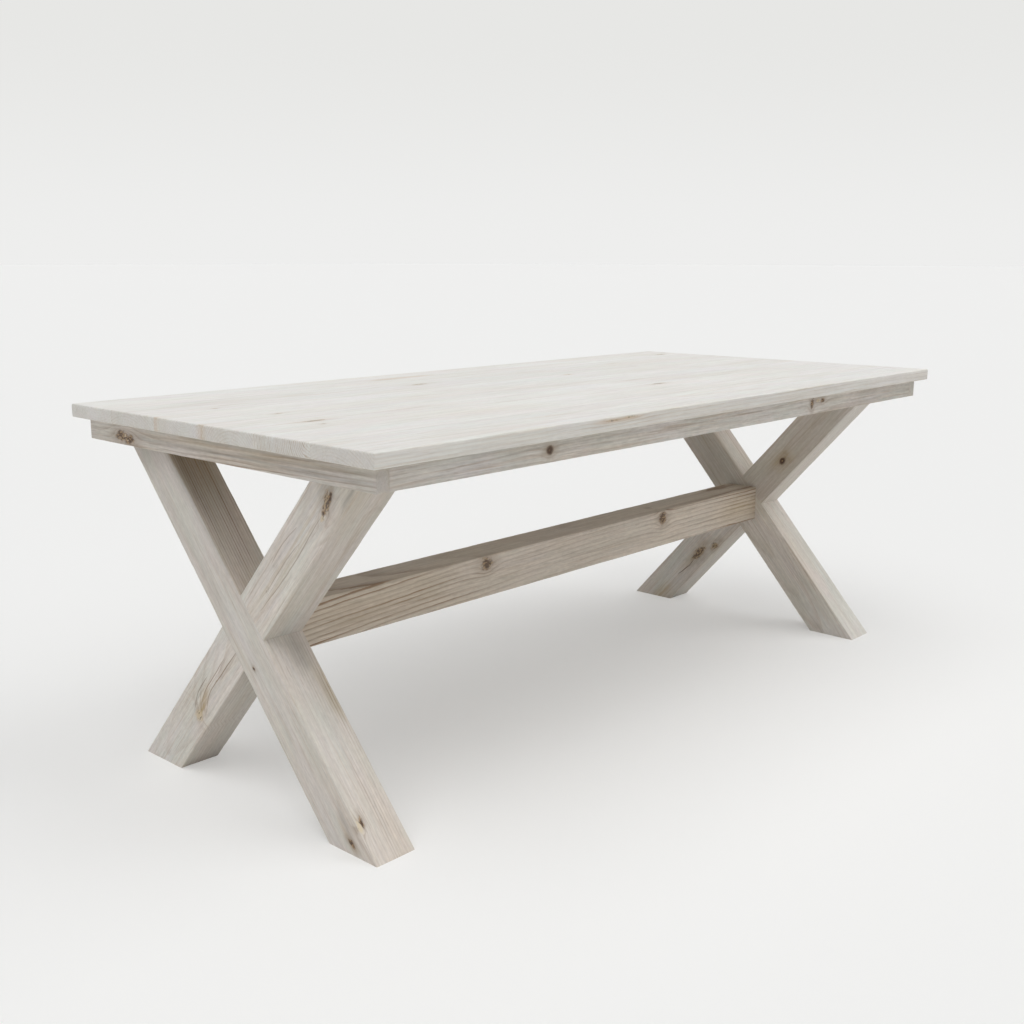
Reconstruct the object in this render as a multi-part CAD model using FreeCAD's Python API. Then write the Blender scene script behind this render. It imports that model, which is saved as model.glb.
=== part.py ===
import FreeCAD, Part
import math
import os

from FreeCAD import Vector

# Sawbuck table in millimetres. X runs along the top, Y across it and Z up from the floor.
# The origin is on the floor under the middle of the top; the front is -Y, the left end is -X.

# Top
table_height = 760.0
top_length = 2000.0
top_width = 950.0
top_thickness = 28.0
board_count = 6
top_edge_round = 3.0       # easing round the edge of the whole top

# Apron frame under the top
apron_inset = 26.0         # edge of the top to the outer face of an apron
apron_thickness = 28.0
apron_depth = 45.0
apron_edge_round = 2.0

# Trestles: two crossed legs under a bearer
leg_width = 100.0          # across the face of the X
leg_depth = 92.0           # along the table
leg_edge_round = 2.0
leg_end_gap = 14.0         # inner face of an end apron to the outer face of the legs
leg_side_gap = 41.0        # inner face of a side apron to the top corner of a leg
lap_fit = 0.1              # each side of a leg in its lap
bearer_thickness = 32.0
bearer_lip = 14.0          # bearer past the inner face of the legs

# Middle batten
batten_width = 70.0
batten_thickness = 32.0

# Stretcher with a stub tenon at each end
stretcher_width = 95.0
stretcher_height = 95.0
stretcher_edge_round = 2.0
tenon_side_shoulder = 25.0
tenon_edge_shoulder = 17.5
tenon_cover = 26.0         # wood left between the tenon's tip and the outer face of the X
tenon_fit = 0.1            # each side of the tenon in its mortise
tenon_end_gap = 1.0

# Dowels
dowel_diameter = 8.0
dowel_length = 40.0
dowel_chamfer = 1.0
dowel_fit = 0.05           # radial
dowel_end_gap = 1.0
dowels_per_seam = 6
corner_dowel_spacing = 22.0

# Screws
screw_fit = 0.05           # radial, round the shank
head_fit = 0.5             # radial, round the head in its counterbore
screw_tip_gap = 1.0
tip_slope = 1.5            # length of a tip for each millimetre of its radius
socket_share = 0.6         # depth of a socket for each millimetre of head height
socket_sides = 6

# Small screws up into the top
small_screw_diameter = 5.0
small_head_diameter = 10.0
small_head_height = 3.0
small_socket_width = 3.0
top_screw_cover = 11.0     # wood left above a tip in the top
bearer_screw_sink = 4.0    # head seat above the underside of a bearer or the batten
apron_screw_sink = 12.0    # head seat above the underside of an apron
side_apron_screws = 5      # along each side apron

# Long screws down into the leg ends
leg_screw_diameter = 8.0
leg_screw_bite = 68.0      # length in the end of a leg
leg_screw_spacing = 46.0
leg_head_diameter = 18.0
leg_head_height = 4.5
leg_head_sink = 5.0        # head seat below the upper face of a bearer
leg_socket_width = 6.0

# Screws that close the laps
lap_screw_diameter = 6.0
lap_screw_cover = 16.0     # wood left between a tip and the outer face of the X
lap_head_diameter = 12.0
lap_head_height = 3.5
lap_head_sink = 4.5        # head seat behind the inner face of the X
lap_socket_width = 4.0

# Levels and faces that the pieces share
top_underside = table_height - top_thickness
top_end = top_length / 2
top_side = top_width / 2
board_width = top_width / board_count
apron_bottom = top_underside - apron_depth
apron_end_face = top_end - apron_inset
apron_side_face = top_side - apron_inset
frame_end = apron_end_face - apron_thickness
frame_side = apron_side_face - apron_thickness
apron_end_middle = (apron_end_face + frame_end) / 2
apron_side_middle = (apron_side_face + frame_side) / 2
leg_top = top_underside - bearer_thickness
leg_outer = frame_end - leg_end_gap
leg_inner = leg_outer - leg_depth
leg_middle = (leg_outer + leg_inner) / 2
crossing = leg_top / 2
bearer_inner = leg_inner - bearer_lip
bearer_middle = (frame_end + bearer_inner) / 2
batten_bottom = top_underside - batten_thickness
tenon_width = stretcher_width - 2 * tenon_side_shoulder
tenon_height = stretcher_height - 2 * tenon_edge_shoulder
tenon_length = leg_depth - tenon_cover

# The outer edge of a leg passes through (half_spread, floor), half a leg width from an axis
# through the crossing, so its lean from the vertical has a closed form.
half_spread = frame_side - leg_side_gap
reach = math.hypot(half_spread, crossing)
lean = math.acos(leg_width / 2 / reach) - math.atan2(crossing, half_spread)
foot_length = leg_width / math.cos(lean)

ends = {"left": -1, "right": 1}
sides = {"front": -1, "rear": 1}
along = Vector(1, 0, 0)
across = Vector(0, 1, 0)
up = Vector(0, 0, 1)


def block(x_pair, y_pair, z_pair):
    """A box between two values on each axis, given in either order."""
    low = Vector(min(x_pair), min(y_pair), min(z_pair))
    high = Vector(max(x_pair), max(y_pair), max(z_pair))
    size = high - low
    return Part.makeBox(size.x, size.y, size.z, low)


def rounded(solid, radius, wanted):
    """The solid with the edges that `wanted` picks by their middle and direction rounded."""
    picked = []
    for edge in solid.Edges:
        run = edge.Vertexes[1].Point - edge.Vertexes[0].Point
        if wanted(edge.CenterOfMass, run.normalize()):
            picked.append(edge)
    return solid.makeFillet(radius, picked)


def lies_along(run, direction):
    return abs(run.dot(direction)) > 0.999


def spaced(count, length):
    """The middles of `count` equal steps along a length centred on zero."""
    return [(index + 0.5) * length / count - length / 2 for index in range(count)]


def dowel(centre, direction):
    """A dowel centred on a joint, chamfered at both ends."""
    start = centre - direction * (dowel_length / 2)
    body = Part.makeCylinder(dowel_diameter / 2, dowel_length, start, direction)
    rims = [edge for edge in body.Edges if isinstance(edge.Curve, Part.Circle)]
    return body.makeChamfer(dowel_chamfer, rims)


def dowel_hole(centre, direction):
    """The hole for a dowel, through both pieces that it joins."""
    length = dowel_length + 2 * dowel_end_gap
    start = centre - direction * (length / 2)
    return Part.makeCylinder(dowel_diameter / 2 + dowel_fit, length, start, direction)


def screw(seat, direction, length, diameter, head_diameter, head_height, socket_width):
    """A screw whose head bears on `seat`, with a socket in its head and a pointed tip."""
    tip = diameter / 2 * tip_slope
    back = direction * -1
    shank = Part.makeCylinder(diameter / 2, length - tip, seat, direction)
    point = Part.makeCone(diameter / 2, 0, tip, seat + direction * (length - tip), direction)
    head = Part.makeCylinder(head_diameter / 2, head_height, seat, back)
    corner_reach = socket_width / 2 / math.cos(math.pi / socket_sides)
    corners = []
    for index in range(socket_sides + 1):
        turn = FreeCAD.Rotation(direction, 360 / socket_sides * index)
        corners.append(seat + back * head_height + turn.multVec(across) * corner_reach)
    mouth = Part.Face(Part.makePolygon(corners))
    socket = mouth.extrude(direction * (head_height * socket_share))
    return head.fuse([shank, point]).removeSplitter().cut(socket)


def screw_hole(seat, direction, length, diameter, head_diameter, sink):
    """The pilot hole and the counterbore for a screw whose head sits `sink` under the surface."""
    pilot = Part.makeCylinder(diameter / 2 + screw_fit, length + screw_tip_gap, seat, direction)
    counterbore = Part.makeCylinder(head_diameter / 2 + head_fit, sink, seat, direction * -1)
    return pilot.fuse(counterbore)


def top_screws(places, underside, sink):
    """Small screws up into the top, and their holes, through pieces with one underside."""
    seat_level = underside + sink
    length = table_height - top_screw_cover - seat_level
    screws = []
    holes = []
    for x, y in places:
        seat = Vector(x, y, seat_level)
        screws.append(screw(seat, up, length, small_screw_diameter, small_head_diameter,
                            small_head_height, small_socket_width))
        holes.append(screw_hole(seat, up, length, small_screw_diameter, small_head_diameter, sink))
    return screws, holes


def bearer_screw_place(board_middle):
    """The place across a bearer of a board's screw, beside a leg end rather than under it."""
    inside = half_spread - foot_length - 2 * small_head_diameter
    outside = half_spread + small_head_diameter
    out = abs(board_middle)
    if inside < out < outside:
        out = min(inside, outside, key=lambda place: abs(place - out))
    return math.copysign(out, board_middle)


# One screw for each board in every cross piece, and a row along each side apron
board_middles = spaced(board_count, top_width)
bearer_places = []
apron_places = []
for way in ends.values():
    for middle in board_middles:
        bearer_places.append((way * bearer_middle, bearer_screw_place(middle)))
        apron_places.append((way * apron_end_middle, middle))
for way in sides.values():
    for place in spaced(side_apron_screws, 2 * frame_end):
        apron_places.append((place, way * apron_side_middle))
batten_places = [(0.0, middle) for middle in board_middles]
bearer_screws, bearer_holes = top_screws(bearer_places, leg_top, bearer_screw_sink)
batten_screws, batten_holes = top_screws(batten_places, batten_bottom, bearer_screw_sink)
apron_screws, apron_holes = top_screws(apron_places, apron_bottom, apron_screw_sink)

# Dowels between the boards
seams = [middle + board_width / 2 for middle in board_middles[:-1]]
board_level = (table_height + top_underside) / 2
seam_centres = []
for seam in seams:
    for place in spaced(dowels_per_seam, top_length):
        seam_centres.append(Vector(place, seam, board_level))
board_dowels = [dowel(centre, across) for centre in seam_centres]
board_dowel_holes = [dowel_hole(centre, across) for centre in seam_centres]

# Dowels in the corners of the apron frame, screws in the leg ends and screws in the laps.
# The middle of a leg screw's bite lies on the leg's axis.
corner_dowels = []
corner_dowel_holes = []
leg_screws = []
leg_screw_holes = []
lap_screws = []
lap_screw_holes = []
corner_level = (top_underside + apron_bottom) / 2
leg_screw_seat = top_underside - leg_head_sink
leg_screw_length = leg_screw_seat - leg_top + leg_screw_bite
leg_screw_place = (leg_top - leg_screw_bite / 2 - crossing) * math.tan(lean)
lap_screw_seat = leg_inner + lap_head_sink
lap_screw_length = leg_outer - lap_screw_cover - lap_screw_seat
lap_screw_place = (stretcher_width - tenon_side_shoulder) / 2
for end_way in ends.values():
    for side_way in sides.values():
        for step in (-0.5, 0.5):
            corner = Vector(end_way * frame_end, side_way * apron_side_middle, corner_level)
            corner.z += step * corner_dowel_spacing
            corner_dowels.append(dowel(corner, along))
            corner_dowel_holes.append(dowel_hole(corner, along))
            seat = Vector(end_way * leg_middle, side_way * leg_screw_place, leg_screw_seat)
            seat.x += step * leg_screw_spacing
            leg_screws.append(screw(seat, up * -1, leg_screw_length, leg_screw_diameter,
                                    leg_head_diameter, leg_head_height, leg_socket_width))
            leg_screw_holes.append(screw_hole(seat, up * -1, leg_screw_length, leg_screw_diameter,
                                              leg_head_diameter, leg_head_sink))
        seat = Vector(end_way * lap_screw_seat, side_way * lap_screw_place, crossing)
        lap_screws.append(screw(seat, along * end_way, lap_screw_length, lap_screw_diameter,
                                lap_head_diameter, lap_head_height, lap_socket_width))
        lap_screw_holes.append(screw_hole(seat, along * end_way, lap_screw_length, lap_screw_diameter,
                                          lap_head_diameter, lap_head_sink))


def top_board(middle):
    """One board of the top, eased where it meets the edge of the whole top."""
    board = block((-top_end, top_end), (middle - board_width / 2, middle + board_width / 2),
                  (top_underside, table_height))

    def on_rim(place, run):
        at_end = abs(place.x) > top_end - top_edge_round
        at_side = abs(place.y) > top_side - top_edge_round
        upright_corner = at_end and at_side
        return upright_corner or (at_end and lies_along(run, across)) or (at_side and lies_along(run, along))

    eased = rounded(board, top_edge_round, on_rim)
    return eased.cut(bearer_holes + batten_holes + apron_holes + board_dowel_holes)


def end_apron(way):
    """An apron across the end of the frame, over the ends of the side aprons."""
    apron = block((way * frame_end, way * apron_end_face), (-apron_side_face, apron_side_face),
                  (apron_bottom, top_underside))
    eased = rounded(apron, apron_edge_round, lambda place, run: place.z < apron_bottom + apron_edge_round)
    return eased.cut(apron_holes + corner_dowel_holes)


def side_apron(way):
    """An apron along the frame, between the end aprons."""
    apron = block((-frame_end, frame_end), (way * frame_side, way * apron_side_face),
                  (apron_bottom, top_underside))

    def lower_edge(place, run):
        return place.z < apron_bottom + apron_edge_round and lies_along(run, along)

    return rounded(apron, apron_edge_round, lower_edge).cut(apron_holes + corner_dowel_holes)


def bearer(way):
    """A cross piece on top of an X, against the end apron and between the side aprons."""
    blank = block((way * frame_end, way * bearer_inner), (-frame_side, frame_side), (leg_top, top_underside))
    return blank.cut(bearer_holes + leg_screw_holes)


def middle_batten():
    """A cross piece under the middle of the top, between the side aprons."""
    blank = block((-batten_width / 2, batten_width / 2), (-frame_side, frame_side),
                  (batten_bottom, top_underside))
    return blank.cut(batten_holes)


def leg_blank(foot_way, near, far, spare=0.0):
    """A slanted leg with its foot on one side, between two planes along the table.

    `spare` widens it on both edges, as for the lap that it drops into.
    """
    extra = spare / math.cos(lean)
    foot_out = foot_way * (half_spread + extra)
    foot_in = foot_way * (half_spread - foot_length - extra)
    corners = [(foot_in, 0.0), (foot_out, 0.0), (-foot_in, leg_top), (-foot_out, leg_top)]
    points = [Vector(min(near, far), y, z) for y, z in corners]
    face = Part.Face(Part.makePolygon(points + points[:1]))
    return face.extrude(along * abs(far - near))


def mortise(end_way):
    """The hole for a stub tenon, from the inner face of an X."""
    floor = end_way * (leg_inner + tenon_length + tenon_end_gap)
    half_width = tenon_width / 2 + tenon_fit
    half_height = tenon_height / 2 + tenon_fit
    return block((end_way * leg_inner, floor), (-half_width, half_width),
                 (crossing - half_height, crossing + half_height))


def leg(end_way, foot_way):
    """A leg with its half of the cross-lap and of the mortise cut out.

    On each trestle the leg whose foot is in front on the left, or at the rear on the right,
    runs unbroken across the outer face of the X.
    """
    outer = end_way * leg_outer
    inner = end_way * leg_inner
    middle = end_way * leg_middle
    slope = Vector(0, -foot_way * math.sin(lean), math.cos(lean))
    blank = rounded(leg_blank(foot_way, outer, inner), leg_edge_round,
                    lambda place, run: lies_along(run, slope))
    near, far = (middle, inner) if end_way == foot_way else (outer, middle)
    lap = leg_blank(-foot_way, near, far, lap_fit)
    return blank.cut([lap, mortise(end_way)] + leg_screw_holes + lap_screw_holes)


def stretcher():
    """The beam between the two crossings, with its stub tenons."""
    beam = block((-leg_inner, leg_inner), (-stretcher_width / 2, stretcher_width / 2),
                 (crossing - stretcher_height / 2, crossing + stretcher_height / 2))
    eased = rounded(beam, stretcher_edge_round, lambda place, run: lies_along(run, along))
    tip = leg_inner + tenon_length
    tenons = block((-tip, tip), (-tenon_width / 2, tenon_width / 2),
                   (crossing - tenon_height / 2, crossing + tenon_height / 2))
    return eased.fuse(tenons).removeSplitter()


pieces = {"middle_batten": middle_batten(), "stretcher": stretcher()}
for index, middle in enumerate(board_middles):
    pieces[f"top_board_{index + 1}"] = top_board(middle)
for end, end_way in ends.items():
    pieces[f"end_apron_{end}"] = end_apron(end_way)
    pieces[f"bearer_{end}"] = bearer(end_way)
    for side, foot_way in sides.items():
        pieces[f"leg_{end}_{side}"] = leg(end_way, foot_way)
for side, side_way in sides.items():
    pieces[f"side_apron_{side}"] = side_apron(side_way)
groups = {
    "board_dowels": board_dowels,
    "corner_dowels": corner_dowels,
    "bearer_screws": bearer_screws,
    "batten_screws": batten_screws,
    "apron_screws": apron_screws,
    "leg_screws": leg_screws,
    "lap_screws": lap_screws,
}
for name, solids in groups.items():
    pieces[name] = Part.makeCompound(solids)

os.makedirs("parts", exist_ok=True)
for name, shape in pieces.items():
    shape.exportStep(f"parts/{name}.step")
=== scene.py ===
import bpy
import numpy as np
from mathutils import Matrix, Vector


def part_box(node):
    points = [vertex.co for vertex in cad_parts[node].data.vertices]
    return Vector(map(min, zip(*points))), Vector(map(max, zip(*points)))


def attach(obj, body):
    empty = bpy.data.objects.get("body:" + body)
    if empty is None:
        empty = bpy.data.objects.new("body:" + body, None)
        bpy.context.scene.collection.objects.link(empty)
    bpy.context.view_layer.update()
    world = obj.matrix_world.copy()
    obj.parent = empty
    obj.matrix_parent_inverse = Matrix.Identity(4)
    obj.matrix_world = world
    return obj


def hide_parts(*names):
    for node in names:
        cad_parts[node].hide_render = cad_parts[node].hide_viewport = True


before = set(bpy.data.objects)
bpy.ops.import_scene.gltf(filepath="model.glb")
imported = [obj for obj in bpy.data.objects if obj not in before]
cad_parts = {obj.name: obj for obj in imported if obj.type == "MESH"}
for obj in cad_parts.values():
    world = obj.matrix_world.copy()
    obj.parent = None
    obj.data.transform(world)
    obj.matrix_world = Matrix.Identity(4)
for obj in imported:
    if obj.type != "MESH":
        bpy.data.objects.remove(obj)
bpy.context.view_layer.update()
scene = bpy.context.scene
scene.view_settings.view_transform = "Standard"
mm = 0.001   # lengths below are in millimetres, the scene is in metres
alongX, alongY, upZ = np.eye(3)


def linear(red, green, blue):   # 0 to 255 screen values to the scene's linear colour
    screen = np.array([red, green, blue]) / 255
    low, high = screen / 12.92, ((screen + 0.055) / 1.055) ** 2.4
    return (*np.where(screen <= 0.04045, low, high).tolist(), 1.0)


def addObject(name, data):
    added = bpy.data.objects.new(name, data)
    scene.collection.objects.link(added)
    return added


# camera
viewSettings = {
    "place": (-2.2069, -1.8774, 1.0543),   # metres
    "yaw": 0.8265,       # from +Y towards +X
    "pitch": 0.2075,     # down from level
    "roll": 0.0015,
    "lens": 42.29,
    "sensor": 36.0,
    "farthest": 1000,    # metres
}


# columns of the matrix are the camera's right, up and back directions from yaw, pitch and roll
def addCamera(settings):
    yaw, pitch, roll = (settings[key] for key in ("yaw", "pitch", "roll"))
    ahead = np.array([np.sin(yaw) * np.cos(pitch), np.cos(yaw) * np.cos(pitch), -np.sin(pitch)])
    level = np.array([np.cos(yaw), -np.sin(yaw), 0.0])
    over = np.cross(level, ahead)
    turn = np.eye(4)
    turn[:3, 0] = np.cos(roll) * level + np.sin(roll) * over
    turn[:3, 1] = np.cos(roll) * over - np.sin(roll) * level
    turn[:3, 2] = -ahead
    turn[:3, 3] = settings["place"]
    lens = bpy.data.cameras.new("photoView")
    lens.sensor_fit = "HORIZONTAL"
    lens.sensor_width = settings["sensor"]
    lens.lens = settings["lens"]
    lens.clip_end = settings["farthest"]
    camera = addObject("photoView", lens)
    camera.matrix_world = Matrix(turn.tolist())
    return camera


bpy.context.scene.camera = addCamera(viewSettings)
print("camera placed")


# node helpers: a value that is a socket is linked, any other is set
def addNode(tree, kind, feeds=None, **options):
    node = tree.nodes.new("ShaderNode" + kind)
    for key, value in options.items():
        setattr(node, key, value)
    for key, value in (feeds or {}).items():
        if isinstance(value, bpy.types.NodeSocket):
            tree.links.new(value, node.inputs[key])
        else:
            node.inputs[key].default_value = value
    return node


def calc(tree, operation, *values):   # one step for each value after the first
    total = values[0]
    for value in values[1:] or (0.0,):
        total = addNode(tree, "Math", {0: total, 1: value}, operation=operation).outputs[0]
    return total


def times(tree, *values):
    return calc(tree, "MULTIPLY", *values)


def plus(tree, *values):
    return calc(tree, "ADD", *values)


def minus(tree, *values):
    return calc(tree, "SUBTRACT", *values)


def remap(tree, value, low, high, newLow=0.0, newHigh=1.0, kind="SMOOTHSTEP"):
    feeds = {"Value": value, "From Min": low, "From Max": high, "To Min": newLow, "To Max": newHigh}
    return addNode(tree, "MapRange", feeds, interpolation_type=kind).outputs["Result"]


def blend(tree, share, first, second, mode="MIX"):
    return addNode(tree, "Mix", {0: share, 6: first, 7: second}, data_type="RGBA", blend_type=mode).outputs[2]


def grainNoise(tree, grain, along, across, detail=2.0, shift=0.0):   # noise drawn out along the grain
    stretch = (along, across, across)
    scaled = addNode(tree, "VectorMath", {0: grain, 1: stretch}, operation="MULTIPLY").outputs[0]
    moved = addNode(tree, "VectorMath", {0: scaled, 1: (shift,) * 3}, operation="ADD").outputs[0]
    return addNode(tree, "TexNoise", {"Vector": moved, "Scale": 1.0, "Detail": detail}).outputs[0]


def newGroup(name, inputs, outputs):
    tree = bpy.data.node_groups.new(name, "ShaderNodeTree")
    for label, kind in inputs.items():
        tree.interface.new_socket(label, in_out="INPUT", socket_type="NodeSocket" + kind)
    for label in outputs:
        tree.interface.new_socket(label, in_out="OUTPUT", socket_type="NodeSocketFloat")
    return tree, tree.nodes.new("NodeGroupInput").outputs, tree.nodes.new("NodeGroupOutput").inputs


def putOut(tree, shown, *values):
    for socket, value in zip(shown, values):
        tree.links.new(value, socket)
    return tree


def placeGroup(tree, group, feeds):
    return addNode(tree, "Group", feeds, node_tree=group).outputs


def newMaterial(name):
    material = bpy.data.materials.new(name)
    material.use_nodes = True
    return material, material.node_tree, material.node_tree.nodes["Principled BSDF"]


# late wood darkens slowly through each year and stops short at its end, stronger in some years than in others
ringLook = {
    "jitter": 0.22,          # years
    "rise": (0.35, 0.9),     # part of the year in which it darkens
    "sharp": 1.4,
    "fall": (0.92, 1.0),
    "weakYear": 0.5,
    "palePatch": 0.45,
}


def growthRings(settings):
    inputs = {"Ring": "Float", "Grain": "Vector", "Depth": "Float"}
    tree, given, shown = newGroup("growthRings", inputs, ["Late"])
    grain = given["Grain"]
    jitter = minus(tree, grainNoise(tree, grain, 30, 240), 0.5)
    moved = plus(tree, given["Ring"], times(tree, jitter, settings["jitter"]))
    share, number = calc(tree, "FRACT", moved), calc(tree, "FLOOR", moved)
    year = addNode(tree, "TexWhiteNoise", {"W": number}, noise_dimensions="1D").outputs["Value"]
    rise = calc(tree, "POWER", remap(tree, share, *settings["rise"]), settings["sharp"])
    fall = remap(tree, share, *settings["fall"], 1.0, 0.0)
    strength = remap(tree, year, 0.0, 1.0, settings["weakYear"], 1.0, "LINEAR")
    patch = remap(tree, grainNoise(tree, grain, 5, 45, shift=7.0), 0.3, 0.7, settings["palePatch"], 1.0)
    return putOut(tree, shown, times(tree, rise, fall, strength, patch, given["Depth"]))


# broad bands, streaks, thin dark lines, fine fibres and short resin dashes, all drawn out along the grain,
# and two softer fields for the film: small mottling and slow clouds
fibreFields = {   # waves per metre along and across, detail, shift, then the range that is spread over 0 to 1
    "Band": (1.6, 50, 3.0, 17.0, 0.28, 0.72, "LINEAR"),
    "Streak": (9.0, 240, 3.0, 0.0, 0.28, 0.72, "LINEAR"),
    "Line": (5.0, 210, 1.0, 23.0, 0.56, 0.74, "SMOOTHSTEP"),
    "Fibre": (28, 520, 4.0, 3.0, 0.28, 0.72, "LINEAR"),
    "Dash": (30, 520, 0.0, 11.0, 0.68, 0.8, "SMOOTHSTEP"),
    "Mottle": (75, 180, 3.0, 29.0, 0.28, 0.72, "LINEAR"),
    "Cloud": (8.0, 22, 2.0, 31.0, 0.3, 0.7, "SMOOTHSTEP"),
}


def fibreStreaks(fields):
    tree, given, shown = newGroup("fibreStreaks", {"Grain": "Vector"}, fields)
    values = [remap(tree, grainNoise(tree, given["Grain"], *noise), low, high, kind=kind)
              for *noise, low, high, kind in fields.values()]
    return putOut(tree, shown, *values)


# Core fills the knot softly, Halo is the dulled wood round it, and Dark its flecks,
# or a ring round a pale eye where the tone is over 1
knotLook = {                   # distances from the middle in the knot's own radii
    "ringTone": 1.1,
    "ragged": (1.3, 0.4),      # of whole and of ringed knots
    "core": (0.5, 1.25),
    "halo": (0.5, 3.0),
    "eye": (0.08, 0.34),
    "ringEnd": (0.85, 1.15),
    "fleck": (0.44, 0.62),     # range of the noise over which it turns dark
    "fleckShift": (0.08, -0.06),   # of that noise in the middle and at the rim
    "fleckTone": 0.26,
}


def knotFigure(settings):
    inputs = {"Away": "Float", "Tone": "Float", "Grain": "Vector"}
    tree, given, shown = newGroup("knotFigure", inputs, ["Core", "Dark", "Halo"])
    grain = given["Grain"]
    rough = minus(tree, grainNoise(tree, grain, 90, 170, 3.0), 0.5)
    ringed = calc(tree, "GREATER_THAN", given["Tone"], settings["ringTone"])
    whole = minus(tree, 1.0, ringed)
    ragged = remap(tree, ringed, 0.0, 1.0, *settings["ragged"], "LINEAR")
    away = plus(tree, given["Away"], times(tree, rough, ragged))
    core = remap(tree, away, *settings["core"], 1.0, 0.0)
    fleck = plus(tree, grainNoise(tree, grain, 130, 250, 3.0, 6.0),
                 remap(tree, away, 0.0, 1.0, *settings["fleckShift"]),
                 times(tree, minus(tree, given["Tone"], 0.5), settings["fleckTone"]))
    ringEnd = remap(tree, away, *settings["ringEnd"], 1.0, 0.0)
    ring = times(tree, remap(tree, away, *settings["eye"]), ringEnd, ringed)
    dark = plus(tree, ring, times(tree, remap(tree, fleck, *settings["fleck"]), whole))
    halo = remap(tree, given["Away"], *settings["halo"], 1.0, 0.0)
    return putOut(tree, shown, core, dark, halo)


# how much of the wood the white wash hides: patchy and streaked, thin on late wood,
# rubbed through here and there on arrises
washLook = {"patch": 0.8, "brush": 0.7, "late": 0.45, "rubbed": 0.2, "most": 0.97}


def limeWash(settings):
    inputs = {"Grain": "Vector", "Late": "Float", "Arris": "Float", "Amount": "Float", "Streaks": "Float"}
    tree, given, shown = newGroup("limeWash", inputs, ["Cover"])
    grain = given["Grain"]
    patch = minus(tree, grainNoise(tree, grain, 2.4, 10.0, 3.0, 5.0), 0.5)
    brush = minus(tree, grainNoise(tree, grain, 6.0, 210.0, 3.0, 9.0), 0.5)
    rubbed = remap(tree, grainNoise(tree, grain, 12.0, 30.0, 2.0, 13.0), 0.45, 0.65)
    cover = plus(tree, given["Amount"], times(tree, patch, settings["patch"]),
                 times(tree, brush, given["Streaks"], settings["brush"]))
    cover = minus(tree, cover, times(tree, given["Late"], settings["late"]),
                  times(tree, given["Arris"], rubbed, settings["rubbed"]))
    feeds = {"Value": cover, "Min": 0.0, "Max": settings["most"]}
    return putOut(tree, shown, addNode(tree, "Clamp", feeds).outputs[0])


ringsGroup, streaksGroup = growthRings(ringLook), fibreStreaks(fibreFields)
knotsGroup, washGroup = knotFigure(knotLook), limeWash(washLook)

# pine finishes: colours on a screen scale of 0 to 255
pineTop = {
    "name": "whitewashedTop",
    "early": (226, 219, 207),
    "late": (188, 166, 140),
    "stain": (198, 164, 124),
    "dull": (186, 164, 138),
    "knotPale": (222, 205, 172),
    "knotMid": (164, 132, 92),
    "knotDark": (74, 48, 27),
    "grainLine": (146, 116, 82),
    "wash": (236, 238, 235),
    "washWarm": (238, 236, 236),
    "washAmount": 0.8,
    "band": 0.22,            # share of late wood in the broad bands
    "streak": 0.075,
    "streakMix": {"Streak": 1.0, "Band": 0.33, "Fibre": 0.7},
    "mottle": 0.025,
    "line": 0.16,            # how far thin lines show through the wash
    "lineLate": 0.4,         # and how far they turn to late wood there
    "soak": (0.3, 1.2),      # stain taken up by pale and by dark streaks
    "dash": 0.2,
    "knotShare": 0.6,
    "halo": (0.1, 0.5),      # for pale and for dark knots
    "core": (0.7, 1.0),
    "split": 0.85,           # strength of cracks and dark lines
    "bump": 0.22,
    "relief": 0.6,           # millimetres
    "heights": {"fibre": 0.35, "late": 0.5, "knot": 0.6, "crack": 1.6},
    "rough": (0.5, 0.68),
    "roughMix": {"cover": 0.7, "fibre": 0.3},
}
pineFrame = {
    **pineTop,
    "name": "whitewashedFrame",
    "early": (215, 200, 181),
    "late": (150, 124, 101),
    "stain": (180, 153, 102),
    "dull": (146, 124, 100),
    "wash": (220, 222, 217),
    "washWarm": (226, 222, 221),
    "washAmount": 0.66,
    "streak": 0.13,
    "mottle": 0.06,
    "line": 0.5,
    "knotShare": 0.95,
    "bump": 0.45,
    "rough": (0.55, 0.74),
}
pineBare = {
    **pineFrame,
    "name": "barePine",
    "early": (216, 192, 156),
    "late": (166, 124, 86),
    "washAmount": 0.22,
    "rough": (0.6, 0.8),
}


def readField(tree, name, output="Vector"):
    return addNode(tree, "Attribute", attribute_name=name).outputs[output]


def readParts(tree, name):
    return addNode(tree, "SeparateXYZ", {0: readField(tree, name)}).outputs


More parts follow.
